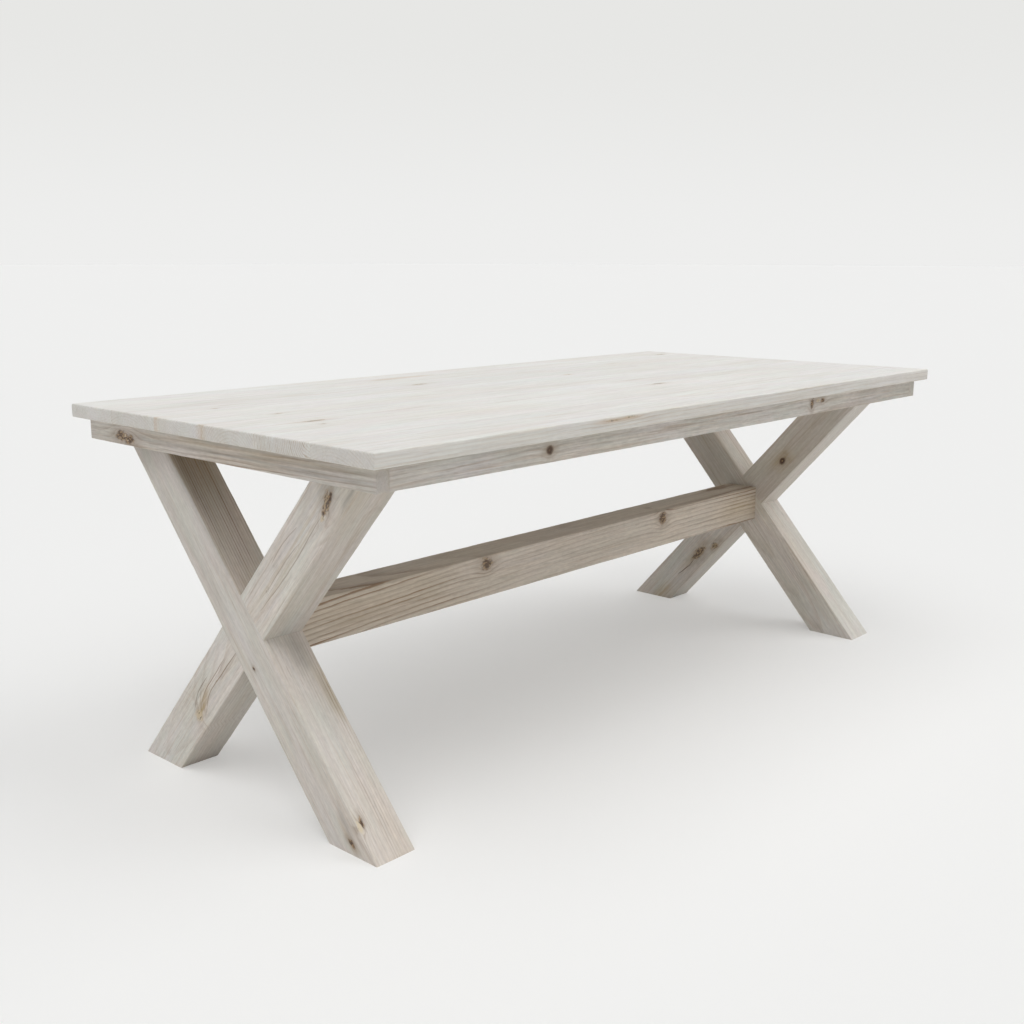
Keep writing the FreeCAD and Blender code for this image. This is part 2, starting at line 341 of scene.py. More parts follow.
def pineMaterial(settings):
    material, tree, shader = newMaterial(settings["name"])
    ring, grain = readField(tree, "ring", "Fac"), readField(tree, "grain")
    away, tone, ink = readParts(tree, "knot")
    streaks, crack, show = readParts(tree, "figure")
    arris, depth, stain = readParts(tree, "wear")
    light, warm, washed = readParts(tree, "tint")
    late = placeGroup(tree, ringsGroup, {"Ring": ring, "Grain": grain, "Depth": depth})["Late"]
    fibres = placeGroup(tree, streaksGroup, {"Grain": grain})
    figure = placeGroup(tree, knotsGroup, {"Away": away, "Tone": tone, "Grain": grain})
    amount = plus(tree, washed, settings["washAmount"])
    feeds = {"Grain": grain, "Late": late, "Arris": arris, "Amount": amount, "Streaks": streaks}
    cover = placeGroup(tree, washGroup, feeds)["Cover"]

    # wood under the wash, then the wash, then what shows through it
    hue = {key: linear(*value) for key, value in settings.items()
           if isinstance(value, tuple) and len(value) == 3}
    wood = blend(tree, late, hue["early"], hue["late"])
    wood = blend(tree, times(tree, fibres["Band"], settings["band"]), wood, hue["late"])
    film = blend(tree, fibres["Cloud"], hue["wash"], hue["washWarm"])
    film = blend(tree, warm, film, hue["early"])
    colour = blend(tree, cover, wood, film)
    line = times(tree, fibres["Line"], streaks, settings["line"])
    colour = blend(tree, line, colour, wood)
    colour = blend(tree, times(tree, line, settings["lineLate"]), colour, hue["late"])

    # streaks and mottling dim it about their middle value, and the lightness attribute scales it, which
    # carries the timber's tone and painted light and shade
    veil = plus(tree, *(times(tree, minus(tree, fibres[label], 0.5), share)
                        for label, share in settings["streakMix"].items()))
    veil = plus(tree, times(tree, veil, streaks, 2 * settings["streak"]),
                times(tree, minus(tree, fibres["Mottle"], 0.5), 2 * settings["mottle"]))
    dim = times(tree, minus(tree, 1.0, veil), light)
    grey = addNode(tree, "CombineColor", {0: dim, 1: dim, 2: dim}).outputs[0]
    colour = blend(tree, 1.0, colour, grey, "MULTIPLY")

    # stains, dashes, knots, cracks and dark lines
    soaked = times(tree, stain, remap(tree, fibres["Streak"], 0.0, 1.0, *settings["soak"], "LINEAR"))
    colour = blend(tree, soaked, colour, hue["stain"])
    colour = blend(tree, times(tree, fibres["Dash"], settings["dash"]), colour, hue["late"])
    halo, core = (times(tree, figure[label], remap(tree, tone, 0.0, 1.0, *settings[key], "LINEAR"),
                        settings["knotShare"]) for label, key in (("Halo", "halo"), ("Core", "core")))
    knotHue = blend(tree, remap(tree, tone, 0.0, 0.8), hue["knotPale"], hue["knotMid"])
    knotHue = blend(tree, figure["Dark"], knotHue, hue["knotDark"])
    colour = blend(tree, halo, colour, hue["dull"])
    colour = blend(tree, core, colour, knotHue)
    split = times(tree, remap(tree, calc(tree, "ABSOLUTE", crack), 0.2, 1.0, 1.0, 0.0), show)
    lineHue = blend(tree, ink, hue["grainLine"], hue["knotDark"])
    colour = blend(tree, times(tree, split, settings["split"]), colour, lineHue)
    tree.links.new(colour, shader.inputs["Base Color"])

    # the wash is rougher than bare wood; fibres and late wood stand up, dark flecks and cracks are sunk
    mix, heights = settings["roughMix"], settings["heights"]
    grip = plus(tree, times(tree, cover, mix["cover"]), times(tree, fibres["Fibre"], mix["fibre"]))
    tree.links.new(remap(tree, grip, 0.0, 1.0, *settings["rough"], "LINEAR"), shader.inputs["Roughness"])
    height = plus(tree, times(tree, fibres["Fibre"], heights["fibre"]), times(tree, late, heights["late"]))
    height = minus(tree, height, times(tree, figure["Core"], figure["Dark"], heights["knot"]),
                   times(tree, split, ink, heights["crack"]))
    feeds = {"Height": height, "Strength": settings["bump"], "Distance": settings["relief"] * mm}
    tree.links.new(addNode(tree, "Bump", feeds).outputs[0], shader.inputs["Normal"])
    return material


topFinish, frameFinish, bareFinish = (pineMaterial(settings) for settings in (pineTop, pineFrame, pineBare))
print("pine finishes made")


# random numbers on a lattice with smooth steps between them: a soft field from -1 to 1
def latticeNoise(points, cell, seed):
    count = 32
    table = np.random.default_rng(seed).uniform(-1, 1, (count, count, count))
    at = points / np.asarray(cell, float)
    low = np.floor(at).astype(int)
    part = at - low
    part = part * part * (3 - 2 * part)
    total = np.zeros(points.shape[:-1])
    for corner in np.ndindex(2, 2, 2):
        weight = np.where(np.array(corner) == 1, part, 1 - part).prod(axis=-1)
        pick = (low + corner) % count
        total += weight * table[pick[..., 0], pick[..., 1], pick[..., 2]]
    return total


# what every timber has unless its own settings say otherwise
plainTimber = {
    "wear": 0.3,               # swing of the arris radius
    "ripple": 0.15,
    "drift": (0.0, 0.0),       # of the pith line across and up, millimetres per metre
    "arch": (0.0, 0.0),        # and per metre squared
    "sway": 2.0,
    "washShift": 0.0,
    "light": 1.0,
    "warm": 0.1,
    "depthAlong": (1, 1),      # ring depth in the middle and towards the ends
    "openSides": (0, 0),       # how far sides glued to a neighbour run on, so that they have no worn arris
    "endShear": 0.0,
    "faces": {}, "knots": (), "stains": (), "marksAndPaintedShade": (), "rings": (), "endStains": (), "cracks": (),
}
# the lightness of a face is painted light and shade: a side set lighter or darker for how light falls on it
plainFace = (1, 0, 1, 1)       # ring depth, wash, lightness and streaks of a face
farAway = 9.0                  # where nothing is left of a mark, in its own sizes
faceAxes = {                   # normal axis, axis across, way that the face looks
    "+a": (1, 2, 1), "-a": (1, 2, -1), "+b": (2, 1, 1), "-b": (2, 1, -1),
}


# Marks on a face, with s, start and stop along the timber and at across it, in millimetres.
# A knot's size is its radius across, long its length over its width, tone pale at 0 and dark at 1,
# and reach its depth; push bends the grain round it, eye adds years to it and rings deepens them.
def knot(face, s, at, size, long=1.5, tone=0.6, reach=70, push=0.9, eye=0.8, turn=0.0, rings=0.35, tail=None):
    return {"face": face, "s": s, "at": at, "size": size, "long": long, "tone": tone, "reach": reach,
            "push": push, "eye": eye, "turn": turn, "rings": rings, "tail": tail}


def band(face, start, stop, at, half, share, slant=0.0, bend=0.0):
    return {"face": face, "from": start, "to": stop, "at": at, "half": half, "share": share,
            "slant": slant, "bend": bend}


def darkLine(face, half, share, path, ink=0.0, jitter=0.5):
    return {"face": face, "half": half, "share": share, "path": path, "ink": ink, "jitter": jitter}


def nodeBox(node):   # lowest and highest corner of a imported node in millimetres
    low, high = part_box(node)
    return np.array(low) / mm, np.array(high) / mm


# each node's settings laid over the shared ones, with its box
def eachNode(pieces):
    shared = pieces["shared"]
    for node, own in pieces.items():
        if node != "shared":
            faces = {**shared.get("faces", {}), **own.get("faces", {})}
            yield {**plainTimber, **shared, **own, "faces": faces, "node": node}, *nodeBox(node)


# Outline of a squared timber, once round from the middle of its +a face: over +b, down -a, under -b and back.
# Each point is a place on the rectangle inside the easing, plus the radius times an outward direction.
def squareOutline(width, depth, gaps, arcSteps=3, usualRadius=2):
    corners = np.array([(1, 1), (0, 1), (0, 0), (1, 0)], float)
    outward = np.array([(0, 1), (-1, 0), (0, -1), (1, 0)], float)
    own = np.eye(4)
    turn = np.linspace(0, np.pi / 2, arcSteps + 1)[:, None]
    inner, normal, weight = [], [], []
    for k, length in enumerate((width, depth, width, depth)):
        after = (k + 1) % 4
        share = np.linspace(0, 1, 2 * max(1, round(length / gaps[k] / 2)) + 1)[1:-1, None]
        inner += [corners[k] * (1 - share) + corners[after] * share, corners[after] + 0 * turn]
        normal += [outward[k] + 0 * share, np.cos(turn) * outward[k] + np.sin(turn) * outward[after]]
        weight += [own[k] * (1 - share) + own[after] * share, own[after] + 0 * turn]
    inner, normal, weight = np.concatenate(inner), np.concatenate(normal), np.concatenate(weight)
    start = np.flatnonzero((normal[:, 0] == 1) & (inner[:, 1] == 0.5))[0]
    inner, normal, weight = (np.roll(values, -start, axis=0) for values in (inner, normal, weight))
    middle = np.flatnonzero((normal[:, 0] == -1) & (inner[:, 1] == 0.5))[0]
    spots = inner * (width - 2 * usualRadius, depth - 2 * usualRadius) + usualRadius * normal
    step = np.linalg.norm(np.roll(spots, -1, axis=0) - spots, axis=1)
    travel = np.concatenate([[0], np.cumsum(step)])
    return {
        "inner": inner, "normal": normal, "weight": weight,
        "travel": travel / travel[-1],
        "upper": np.arange(len(inner)) <= middle,
        "upperShare": np.clip(travel[:-1] / travel[middle], 0, 1),
    }


# the arris radius swells and shrinks along the length, in long and in short waves, as handling wears it
def wornRadius(s, look, waves=(55, 17), quickShare=0.6):
    radii = np.array(look["radii"], float)         # corners +a+b, -a+b, -a-b and +a-b
    apart = 500 * np.arange(4)
    spots = np.stack([s[:, None] + 0 * radii, 0 * s[:, None] + apart, 0 * s[:, None] + 0 * radii], axis=-1)
    slow, quick = (latticeNoise(spots, (wave, 90, 1), look["seed"] + k) for k, wave in enumerate(waves))
    return radii * (1 + look["wear"] * (slow + quickShare * quick))


# Stations of a straight timber: even steps, and at each end a quarter circle that draws the eased sides in
def straightRun(look, arcSteps=3, leastRadius=0.25):
    half, ease = look["length"] / 2, look["endEase"]
    turn = np.linspace(0, np.pi / 2, arcSteps + 1)
    rim = half - ease + ease * np.sin(turn)
    drawn = ease * (1 - np.cos(turn))
    plain = np.linspace(-rim[0], rim[0], round(2 * rim[0] / look["step"]) + 1)[1:-1]
    s = np.concatenate([-rim[::-1], plain, rim])
    inset = np.concatenate([drawn[::-1], 0 * plain, drawn])[:, None]
    sides = np.array(look["endSides"], float)      # share of the end easing on -a, +a, -b and +b
    size = np.array([look["width"], look["depth"]]) / 2
    worn = wornRadius(s, look)
    return {
        "s": s, "shear": 0 * s, "lapped": s > np.inf,
        "low": -size + inset * sides[[0, 2]], "high": size - inset * sides[[1, 3]],
        "radius": np.maximum(worn - inset, np.minimum(worn, leastRadius)),
    }


# Profile carried along the stations, drawn in a little by a slow ripple; where a station is lapped,
# the upper part of the profile lies flat on the middle plane. Slanted cuts shift a point along by shear
# times its place across.
def carryOutline(run, shape, look, rippleCell=(160, 45, 45)):
    radius = run["radius"] @ shape["weight"].T
    size = run["high"] - run["low"]
    a, b = (run["low"][:, k, None] + radius + shape["inner"][:, k] * (size[:, k, None] - 2 * radius)
            + radius * shape["normal"][:, k] for k in (0, 1))
    lapped = run["lapped"][:, None] & shape["upper"]
    a = np.where(lapped, run["high"][:, :1] - shape["upperShare"] * size[:, :1], a)
    b = np.where(lapped, 0.0, b)
    spots = np.stack([run["s"][:, None] + 0 * a, a, b], axis=-1)
    drop = look["ripple"] * (1 + latticeNoise(spots, rippleCell, look["seed"] + 2)) / 2
    a = a - drop * shape["normal"][:, 0]
    b = b - drop * shape["normal"][:, 1] * ~lapped
    s = run["s"][:, None] + run["shear"][:, None] * a
    return np.stack([s, a, b], axis=-1)


# Closes a loop of points with rings inside it and a fan to one pole
def closeLoop(store, loop, loopMap, rings, ringMaps, pole, poleMap):
    size = len(loop)
    numbers = np.vstack([loop, store["count"] + np.arange(len(rings) * size).reshape(-1, size)])
    maps = np.concatenate([loopMap[None], ringMaps])
    after, afterMap = np.roll(numbers, -1, axis=1), np.roll(maps, -1, axis=1)
    last = store["count"] + len(rings) * size
    store["points"] += [rings.reshape(-1, 3), pole[None]]
    store["count"] = last + 1
    quads = np.stack([numbers[:-1], after[:-1], after[1:], numbers[1:]], axis=-1)
    quadMaps = np.stack([maps[:-1], afterMap[:-1], afterMap[1:], maps[1:]], axis=-2)
    store["quads"].append(quads.reshape(-1, 4))
    store["quadMaps"].append(quadMaps.reshape(-1, 4, 2))
    store["fans"].append(np.stack([numbers[-1], after[-1], np.full(size, last)], axis=-1))
    store["fanMaps"].append(np.stack([maps[-1], afterMap[-1], np.broadcast_to(poleMap, (size, 2))], axis=-2))


# End grain: the last outline shrunk in even steps to the middle of the section
def closeEnd(store, place, run, end, loop, mapLow, mapHigh, step=3.0):
    edge = place[end][:, 1:]
    low, high = edge.min(axis=0), edge.max(axis=0)
    middle = (low + high) / 2
    share = np.linspace(1, 0, max(3, round((high - low).min() / 2 / step)) + 1)[:, None, None]
    flat = middle + (edge - middle) * share
    along = run["s"][end] + run["shear"][end] * flat[..., :1]
    points = np.concatenate([along, flat], axis=-1)[:, loop % len(edge)]
    spread = (points[..., [2, 1]] - low[::-1]) / (high - low)[::-1]
    maps = mapLow + spread * (np.array(mapHigh) - mapLow)
    closeLoop(store, loop, maps[0], points[1:-1], maps[1:-1], points[-1, 0], maps[-1, 0])


# Counterbore on the middle line under a timber: a square patch of the grid drawn to a circle,
# eased at the rim, then straight up to the seat
def sinkBore(store, place, index, maps, keep, spot, bore):
    wider = np.array([0.5, 0.15, 0.0, 0.0])                   # ring by ring
    deeper = np.array([0.0, 0.15, 0.5, bore["sink"]])
    mapShare = np.array([0.8, 0.75, 0.7, 0.3])[:, None, None]
    under = np.flatnonzero(bore["under"])
    near = under[np.abs(place[0][under, 1]) >= bore["reach"]]
    left = near[place[0][near, 1] < 0].max()
    right = near[place[0][near, 1] > 0].min()
    first = np.flatnonzero(place[:, left, 0] <= spot - bore["reach"]).max()
    last = np.flatnonzero(place[:, left, 0] >= spot + bore["reach"]).min()
    keep[first:last, left:right] = False
    i = np.concatenate([np.arange(first, last), np.full(right - left, last),
                        np.arange(last, first, -1), np.full(right - left, first)])
    j = np.concatenate([np.full(last - first, left), np.arange(left, right),
                        np.full(last - first, right), np.arange(right, left, -1)])
    loop = place[i, j]
    angle = np.arctan2(loop[:, 1], loop[:, 0] - spot)
    radii = (bore["radius"] + wider)[:, None]
    levels = (loop[:, 2].min() + deeper)[:, None]
    rings = np.stack([spot + radii * np.cos(angle), radii * np.sin(angle), levels + 0 * angle], axis=-1)
    loopMap = maps[i, j]
    centre = loopMap.mean(axis=0)
    ringMaps = centre + (loopMap - centre) * mapShare
    closeLoop(store, index[i, j], loopMap, rings, ringMaps, np.array([spot, 0.0, levels[-1, 0]]), centre)


# Distance from each knot in its own radii, with the shift that lets the grain flow round it
# like water round a post
knotRules = {
    "least": 0.04,         # share of its size that a knot keeps below its reach
    "ragged": 0.22,
    "raggedCell": 0.9,     # in sizes of the knot
    "eyeReach": 2,         # in its own radii, as below
    "ringsReach": 3,
    "tailStart": 12,       # millimetres, as below
    "veerLength": 30,
    "tailSpread": 1.6,     # in half widths of the tail
}


def knotFields(local, look, half, rules):
    nearest, (tone, eye, boost) = np.full(len(local), farAway), np.zeros((3, len(local)))
    shift = np.zeros_like(local)
    for order, mark in enumerate(look["knots"]):
        normalAxis, acrossAxis, way = faceAxes[mark["face"]]
        deep = half[normalAxis] - way * local[:, normalAxis]
        along, across = local[:, 0] - mark["s"], local[:, acrossAxis] - mark["at"]
        cosTurn, sinTurn = np.cos(mark["turn"]), np.sin(mark["turn"])
        along, across = along * cosTurn + across * sinTurn, across * cosTurn - along * sinTurn
        size = mark["size"] * np.clip(1 - deep / mark["reach"], rules["least"], 1)
        cell = np.full(3, rules["raggedCell"] * mark["size"])
        ragged = 1 + rules["ragged"] * latticeNoise(local + 91 * order, cell, look["seed"] + 20 + order)
        away = np.hypot(along / mark["long"], across) / size
        shift[:, acrossAxis] -= mark["push"] * across / np.maximum(away, 1) ** 2
        eye += mark["eye"] * np.exp(-(away / rules["eyeReach"]) ** 2)
        boost += mark["rings"] * np.exp(-(away / rules["ringsReach"]) ** 2)
        tail = mark["tail"]
        if tail:      # lines that leave the knot one way, veer to one side and fade
            ahead = along * tail["way"]
            gone = np.maximum(ahead, 0)
            start = rules["tailStart"]
            fade = np.clip((ahead + start) / (2 * start), 0, 1) * np.exp(-gone / tail["long"])
            side = across - tail["veer"] * (1 - np.exp(-gone / rules["veerLength"]))
            eye += tail["lines"] * fade * np.tanh(side / tail["half"])
            boost += tail["share"] * fade * np.exp(-(side / tail["half"] / rules["tailSpread"]) ** 2)
        away = away * ragged
        tone = np.where(away < nearest, mark["tone"], tone)
        nearest = np.minimum(nearest, away)
    return nearest, tone, eye, shift, boost


# Stains, shade bands and deeper rings are soft bands along a face. A shade band darkens a smear or streak in
# the wood, or is painted shade where the table shades a leg; with a negative share it is painted light. A
# crack or dark line is the distance from a path in its own half widths, show is how strong it is there and
# ink how dark.
# All fade into the wood under the face.
markRules = {
    "bandDeep": 12,        # millimetres, as below
    "lineDeep": 10,
    "endDeep": 6,          # reach of an end stain along the timber
    "rounded": 12,         # a path is the mean of its straight runs over this far each way
    "bendLength": 18,
    "endFade": 12,
    "spare": 2.6,          # width added to a line's own within which its strength is held
    "showDeep": 8,
    "shadeRange": (-0.2, 0.7),
}


def markFields(local, look, half, rules):
    bands = {kind: np.zeros(len(local)) for kind in ("stains", "marksAndPaintedShade", "rings")}
    crack, (show, ink) = np.full(len(local), farAway), np.zeros((2, len(local)))
    for kind, mark in ((kind, mark) for kind in bands for mark in look[kind]):
        normalAxis, acrossAxis, way = faceAxes[mark["face"]]
        deep = half[normalAxis] - way * local[:, normalAxis]
        middle, reach = (mark["to"] + mark["from"]) / 2, (mark["to"] - mark["from"]) / 2
        along = (local[:, 0] - middle) / reach
        line = mark["at"] + mark["slant"] * along + mark["bend"] * along ** 2
        across = (local[:, acrossAxis] - line) / mark["half"]
        bands[kind] += mark["share"] * np.exp(-across ** 2 - along ** 4 - (deep / rules["bandDeep"]) ** 2)
    for mark in look["endStains"]:          # bands across the end at -s
        across = (local[:, 1] - mark["at"]) / mark["half"]
        inside = np.maximum(local[:, 0] + look["length"] / 2, 0)
        bands["stains"] += mark["share"] * np.exp(-across ** 2 - inside / rules["endDeep"])
    steps = np.linspace(-rules["rounded"], rules["rounded"], 7)
    for order, mark in enumerate(look["cracks"]):
        normalAxis, acrossAxis, way = faceAxes[mark["face"]]
        deep = half[normalAxis] - way * local[:, normalAxis]
        places, offsets = np.array(mark["path"], float).T
        length = places[-1] - places[0]
        along = 2 * (local[:, 0] - places[0]) / length - 1
        bend = latticeNoise(local * (1, 0, 0) + 40 * order, (rules["bendLength"], 1, 1), look["seed"] + 60)
        path = np.mean([np.interp(local[:, 0] + step, places, offsets) for step in steps], axis=0)
        across = local[:, acrossAxis] - (mark["jitter"] * bend + path)
        width = mark["half"] * np.sqrt(np.clip(1 - along ** 2, 0.0004, 1)) * np.exp(-deep / rules["lineDeep"])
        far = np.clip(across / width, -farAway, farAway)
        ink = np.where(np.abs(far) < np.abs(crack), mark["ink"], ink)
        crack = np.where(np.abs(far) < np.abs(crack), far, crack)
        near = np.clip(2 - np.abs(across) / (2 * mark["half"] + rules["spare"]), 0, 1)
        near = near * np.clip(1.5 - deep / rules["showDeep"], 0, 1)
        ends = np.clip((1 - np.abs(along)) * length / rules["endFade"], 0, 1)
        show = np.maximum(show, mark["share"] * near * ends)
    stain, markAndPaintedShade = np.clip(bands["stains"], 0, 1), np.clip(bands["marksAndPaintedShade"], *rules["shadeRange"])
    return stain, markAndPaintedShade, bands["rings"], crack, show, ink


# Ring number is the distance from the pith line over the ring width, with slow wander and an eye at each knot
woodRules = {
    "firstRing": 40,
    "swing": 0.7,              # years early or late, in a wave over the distance from the pith
    "swingLength": 31,         # millimetres, as below
    "wander": 0.2,
    "waver": 0.06,
    "arrisReach": 4.5,
    "faceBlend": 1.2,
    "patch": 0.35,             # swing of ring depth, of lightness and of warmth
    "light": 0.03,
    "warm": 0.15,
    "depthFrom": (0.25, 0.8),  # shares of the half length between which the ring depth changes
}


def woodFields(local, look, endAt, rules):
    half = {1: look["width"] / 2, 2: look["depth"] / 2}
    seed = look["seed"]
    away, tone, eye, shift, boost = knotFields(local, look, half, knotRules)
    stain, markAndPaintedShade, deeper, crack, show, ink = markFields(local, look, half, markRules)
    moved = local + shift
    pith, drift, arch = (np.array(look[key], float) for key in ("pith", "drift", "arch"))
    spine = local * (1, 0, 0)
    bow = np.stack([latticeNoise(spine + 300 * k, (420, 1, 1), seed + 3) for k in (1, 2)], axis=-1)
    along = local[:, :1]
    heart = pith + drift * along / 1000 + arch * (along / 1000) ** 2 + look["sway"] * bow
    radius = np.linalg.norm(moved[:, 1:] - heart, axis=1)
    ring = radius / look["ringWidth"] + rules["swing"] * np.sin(radius / rules["swingLength"] + seed)
    slow, quick = latticeNoise(local, (190, 34, 34), seed + 4), latticeNoise(local, (34, 11, 11), seed + 5)
    ring += rules["wander"] * slow + rules["waver"] * quick
    ring += eye

    # an arris is where the second nearest of the sides and ends is close
    gapTo = {"+a": half[1] - local[:, 1], "-a": half[1] + local[:, 1],
             "+b": half[2] - local[:, 2], "-b": half[2] + local[:, 2], "end": endAt}
    widen = look["openSides"]
    gapA = np.minimum(half[1] + widen[0] + local[:, 1], half[1] + widen[1] - local[:, 1])
    gaps = np.sort(np.stack([gapA, half[2] - np.abs(local[:, 2]), endAt], axis=-1), axis=-1)
    arris = np.exp(-(np.maximum(gaps[:, 1], 0) / rules["arrisReach"]) ** 2)

    # each face has its own ring depth, wash, lightness and streaks, blended over its arrises; the lightness
    # is painted light and shade
    near = np.stack([np.exp(-np.maximum(gap, 0) / rules["faceBlend"]) for gap in gapTo.values()], axis=-1)
    faces = np.array([look["faces"].get(face, plainFace) for face in gapTo], float)
    faceDepth, faceWash, faceToneAndPaintedLight, streaks = (near / near.sum(axis=1, keepdims=True) @ faces).T
    patch = latticeNoise(local, (260, 60, 60), seed + 6)
    alongShare = np.abs(local[:, 0]) / np.abs(local[:, 0]).max()
    depth = look["ringDepth"] * (faceDepth * (1 + rules["patch"] * patch) + boost + deeper)
    depth = depth * np.interp(alongShare, rules["depthFrom"], look["depthAlong"])
    lighter = latticeNoise(local, (420, 90, 90), seed + 7)
    warmer = latticeNoise(local, (240, 30, 30), seed + 8)
    # lightness is the face's painted light and shade, times the shade bands' marks and painted shade, times
    # the timber's own tone
    light = faceToneAndPaintedLight * (1 - markAndPaintedShade) * (look["light"] + rules["light"] * lighter)
    warm = np.clip(look["warm"] + rules["warm"] * warmer, 0, 1)
    offset = np.random.default_rng(seed).uniform(-20, 20, 3)
    return {
        "grain": local * mm + offset,
        "knot": np.stack([np.clip(away, 0, farAway), tone, ink], axis=-1),
        "figure": np.stack([streaks, crack, show], axis=-1),
        "wear": np.stack([arris, depth, stain], axis=-1),
        "tint": np.stack([light, warm, look["washShift"] + faceWash], axis=-1),
        "ring": ring + rules["firstRing"],
    }


def fillMesh(name, points, quads, fans, quadMaps, fanMaps, sharpOver=42):   # degrees
    mesh = bpy.data.meshes.new(name)
    loops = np.concatenate([quads.ravel(), fans.ravel()]).astype(np.int32)
    quadStarts, fanStarts = np.arange(len(quads)) * 4, quads.size + np.arange(len(fans)) * 3
    starts = np.concatenate([quadStarts, fanStarts]).astype(np.int32)
    mesh.vertices.add(len(points))
    mesh.vertices.foreach_set("co", points.astype(np.float32).ravel())
    mesh.loops.add(len(loops))
    mesh.loops.foreach_set("vertex_index", loops)
    mesh.polygons.add(len(starts))
    mesh.polygons.foreach_set("loop_start", starts)
    layer = mesh.uv_layers.new(name="OFBake")
    spread = np.concatenate([quadMaps.reshape(-1, 2), fanMaps.reshape(-1, 2)])
    layer.uv.foreach_set("vector", spread.astype(np.float32).ravel())
    mesh.update(calc_edges=True)
    mesh.polygons.foreach_set("use_smooth", np.ones(len(starts), bool))
    mesh.set_sharp_from_angle(angle=np.radians(sharpOver))
    return mesh


mapLayout = {       # shares of the map: width of the sides, then corners of the two ends beside them
    "sides": 0.9,
    "first": ((0.915, 0.01), (0.995, 0.49)),
    "last": ((0.915, 0.51), (0.995, 0.99)),
}


# A whole timber: its carried surface, end grain and counterbores, set in the table by an origin
# and three directions
def addTimber(look, run, shape, origin, axes, finish, bores=(), onePlace=1e-6):
    place = carryOutline(run, shape, look)
    rows, columns = place.shape[:2]
    index = np.arange(rows * columns).reshape(rows, columns)
    moves = np.linalg.norm(np.diff(place, axis=0), axis=-1)
    v = np.concatenate([[0], np.cumsum(moves.max(axis=1))])
    maps = np.stack(np.meshgrid(shape["travel"] * mapLayout["sides"], v / v[-1]), axis=-1)

    # stations in one place share their points: a face between them is left out,
    # or is a triangle where they part
    shared = moves < onePlace
    sharedAfter = np.roll(shared, -1, axis=1)
    index[1:] = np.where(shared, index[:-1], index[1:])
    after = np.roll(index, -1, axis=1)
    quads = np.stack([index[:-1], index[1:], after[1:], after[:-1]], axis=-1)
    quadMaps = np.stack([maps[:-1, :-1], maps[1:, :-1], maps[1:, 1:], maps[:-1, 1:]], axis=-2)
    store = {"points": [place.reshape(-1, 3)], "count": rows * columns,
             "quads": [], "quadMaps": [], "fans": [], "fanMaps": []}
    for parting, corners in ((shared & ~sharedAfter, [0, 2, 3]), (sharedAfter & ~shared, [0, 1, 3])):
        store["fans"].append(quads[parting][:, corners])
        store["fanMaps"].append(quadMaps[parting][:, corners])
    keep = ~(shared | sharedAfter)
    for bore in bores:
        for spot in bore["spots"]:
            sinkBore(store, place, index, maps, keep, spot, bore)
    closeEnd(store, place, run, 0, index[0], *mapLayout["first"])
    closeEnd(store, place, run, -1, index[-1][::-1], *mapLayout["last"])
    store["quads"].append(quads[keep])
    store["quadMaps"].append(quadMaps[keep])
    points, quads, quadMaps, fans, fanMaps = (
        np.concatenate(store[key]) for key in ("points", "quads", "quadMaps", "fans", "fanMaps"))
    used, numbers = np.unique(np.concatenate([quads.ravel(), fans.ravel()]), return_inverse=True)
    quads, fans = numbers[:quads.size].reshape(-1, 4), numbers[quads.size:].reshape(-1, 3)
    local = points[used]
    points = (np.array(origin) + local @ np.array(axes)) * mm

    # faces turn outwards if the volume that they enclose comes out negative
    corners = points[np.concatenate([quads[:, [0, 1, 2]], quads[:, [0, 2, 3]], fans])]
    if np.einsum("ij,ij->", corners[:, 0], np.cross(corners[:, 1], corners[:, 2])) < 0:
        quads, fans, quadMaps, fanMaps = (values[:, ::-1] for values in (quads, fans, quadMaps, fanMaps))
    mesh = fillMesh(look["name"], points, quads, fans, quadMaps, fanMaps)
    endAt = look["halfRun"] - np.abs(local[:, 0] - look["endShear"] * local[:, 1])
    for label, values in woodFields(local, look, endAt, woodRules).items():
        plain = values.ndim == 1
        data = mesh.attributes.new(label, "FLOAT" if plain else "FLOAT_VECTOR", "POINT").data
        data.foreach_set("value" if plain else "vector", values.astype(np.float32).ravel())
    mesh.materials.append(finish)
    piece = addObject(look["name"], mesh)
    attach(piece, "root")
    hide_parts(look["node"])


# a timber between flat ends, in its node's box
def addStraight(look, low, high, axes, gaps, finish, bore=None):
    size = np.abs(np.array(axes) @ (high - low))
    look = {**look, "length": size[0], "halfRun": size[0] / 2, "width": size[1], "depth": size[2]}
    shape = squareOutline(look["width"], look["depth"], gaps)
    bores = [{**bore, "under": shape["normal"][:, 1] == -1}] if bore else []
    addTimber(look, straightRun(look), shape, (low + high) / 2, axes, finish, bores)


